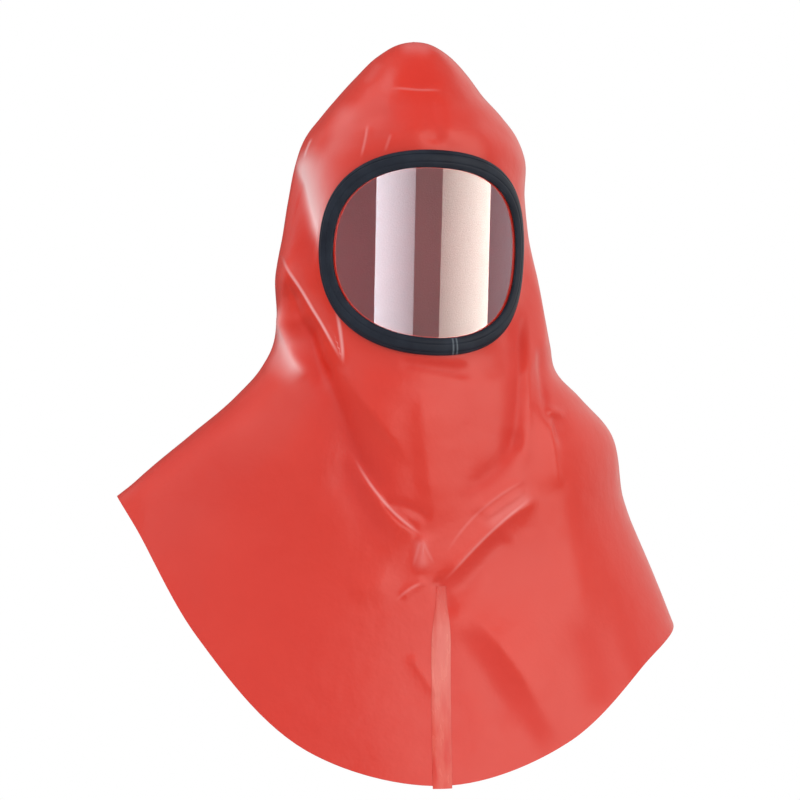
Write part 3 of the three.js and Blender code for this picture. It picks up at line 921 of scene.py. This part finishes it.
def make_light(light):
    """A soft panel of light that faces the hood."""
    turn = math.radians((light.left + light.right) / 2)
    rise = math.radians((light.low + light.high) / 2)
    aim = Vector((math.sin(turn) * math.cos(rise), -math.cos(turn) * math.cos(rise), math.sin(rise)))
    lamp = bpy.data.lights.new(light.name, "AREA")
    lamp.shape = "RECTANGLE"
    lamp.size = 2 * light.distance * math.tan(math.radians(light.right - light.left) / 2)
    lamp.size_y = 2 * light.distance * math.tan(math.radians(light.high - light.low) / 2)
    lamp.energy = light.radiance * math.pi * lamp.size * lamp.size_y
    lamp.color = linear(light.colour)[:3]
    lamp.use_nodes = True
    tree = lamp.node_tree
    tree.nodes.clear()
    spot = node(tree, "NewGeometry").outputs["Parametric"]
    across = node(tree, "SeparateXYZ", {0: spot}).outputs[0]
    share = node(tree, "MapRange", {
        "Value": across, "To Min": 1 - light.tilt, "To Max": 1 + light.tilt}).outputs[0]
    glow = node(tree, "Emission", {"Color": (1, 1, 1, 1), "Strength": share}).outputs[0]
    node(tree, "OutputLight", {"Surface": glow})
    panel = bpy.data.objects.new(light.name, lamp)
    panel.location = LIGHT_TARGET + aim * light.distance
    panel.rotation_euler = aim.to_track_quat("Z", "Y").to_euler()
    panel.visible_glossy = light.shows != "matt"
    panel.visible_diffuse = light.shows != "gloss"
    bpy.context.scene.collection.objects.link(panel)
    return panel


def light_hood(visor):
    """Lights the cloth and the clear sheet apart, each from its own panels."""
    clear_sheet = bpy.data.collections.new("clear_sheet")
    clear_sheet.objects.link(visor)
    for light in WINDOW_LIGHTS:
        make_light(light).light_linking.receiver_collection = clear_sheet
    # a collection that only leaves the clear sheet out stands for everything else
    all_else = bpy.data.collections.new("all_but_clear_sheet")
    all_else.objects.link(visor)
    all_else.collection_objects[0].light_linking.link_state = "EXCLUDE"
    for light in ROOM_LIGHTS:
        make_light(light).light_linking.receiver_collection = all_else


def make_stage():
    """A pale round floor and a white room, which the hood mirrors as dimmer than it looks."""
    bpy.ops.object.select_all(action="DESELECT")
    bpy.ops.mesh.primitive_circle_add(
        vertices=FLOOR_SIDES, radius=FLOOR_RADIUS, fill_type="NGON", location=(0, 0, FLOOR_Z))
    floor = bpy.context.object
    floor.name = "studio_floor"
    floor.data.materials.append(floor_paint())
    world = bpy.data.worlds.new("white_studio")
    world.use_nodes = True
    tree = world.node_tree
    tree.nodes.clear()
    toward = node(tree, "TexCoord").outputs["Generated"]
    height = node(tree, "SeparateXYZ", {"Vector": toward}).outputs["Z"]
    behind = node(tree, "VectorMath", {0: toward, 1: VIEW_FORWARD.tolist()},
                  operation="DOT_PRODUCT").outputs["Value"]
    pale = node(tree, "MapRange", {
        "Value": height, "From Min": ROOM_RISE[0], "From Max": ROOM_RISE[1],
        "To Min": ROOM_LOW, "To Max": ROOM_HIGH}).outputs[0]
    dim = node(tree, "MapRange", {
        "Value": behind, "From Min": ROOM_DEPTH[0], "From Max": ROOM_DEPTH[1],
        "To Min": 1.0, "To Max": ROOM_BEHIND}).outputs[0]
    room = node(tree, "Math", {0: pale, 1: dim}, operation="MULTIPLY").outputs[0]
    seen = node(tree, "LightPath").outputs["Is Camera Ray"]
    strength = node(tree, "Mix", {0: seen, 2: room, 3: BACKDROP}, data_type="FLOAT").outputs[0]
    sky = node(tree, "Background", {"Color": (1, 1, 1, 1), "Strength": strength})
    node(tree, "OutputWorld", {"Surface": sky.outputs[0]})
    bpy.context.scene.world = world
    bpy.context.scene.view_settings.view_transform = "Standard"


def make_camera():
    """The photograph's view of the front."""
    lens = bpy.data.cameras.new("photo_camera")
    lens.lens = VIEW_LENS
    camera = bpy.data.objects.new("photo_camera", lens)
    spot = VIEW_RIGHT * VIEW_SHIFT - VIEW_FORWARD * VIEW_DISTANCE
    camera.location = (spot[0], spot[1], VIEW_HEIGHT)
    camera.rotation_euler = (math.radians(90), 0, -VIEW_TURN)
    bpy.context.scene.collection.objects.link(camera)
    bpy.context.scene.camera = camera


make_camera()
make_stage()
outside, inside, marks = hood_grids()
hood = make_hood(outside, inside, marks)
gasket = make_gasket()
visor = window_sheet("visor_sheet", VISOR_CELLS, VISOR_LAP, WINDOW_RADIUS + VISOR_GAP, VISOR_WALL)
tape = make_tape(outside)
# light reaches the inside through the clear sheet
visor.visible_shadow = False
light_hood(visor)

hood.data.materials.append(coated_cloth())
hood.data.materials.append(woven_backing())
gasket.data.materials.append(strip_rubber())
visor.data.materials.append(visor_plastic())
tape.data.materials.append(tape_vinyl())
for piece, node_name, slot in (
    (hood, "hood_shell", "coated_cloth"),
    (gasket, "window_gasket", "rubber"),
    (visor, "visor", "clear_plastic"),
    (tape, "front_seam_tape", "seam_tape"),
):
    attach(piece, "root")
    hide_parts(node_name)
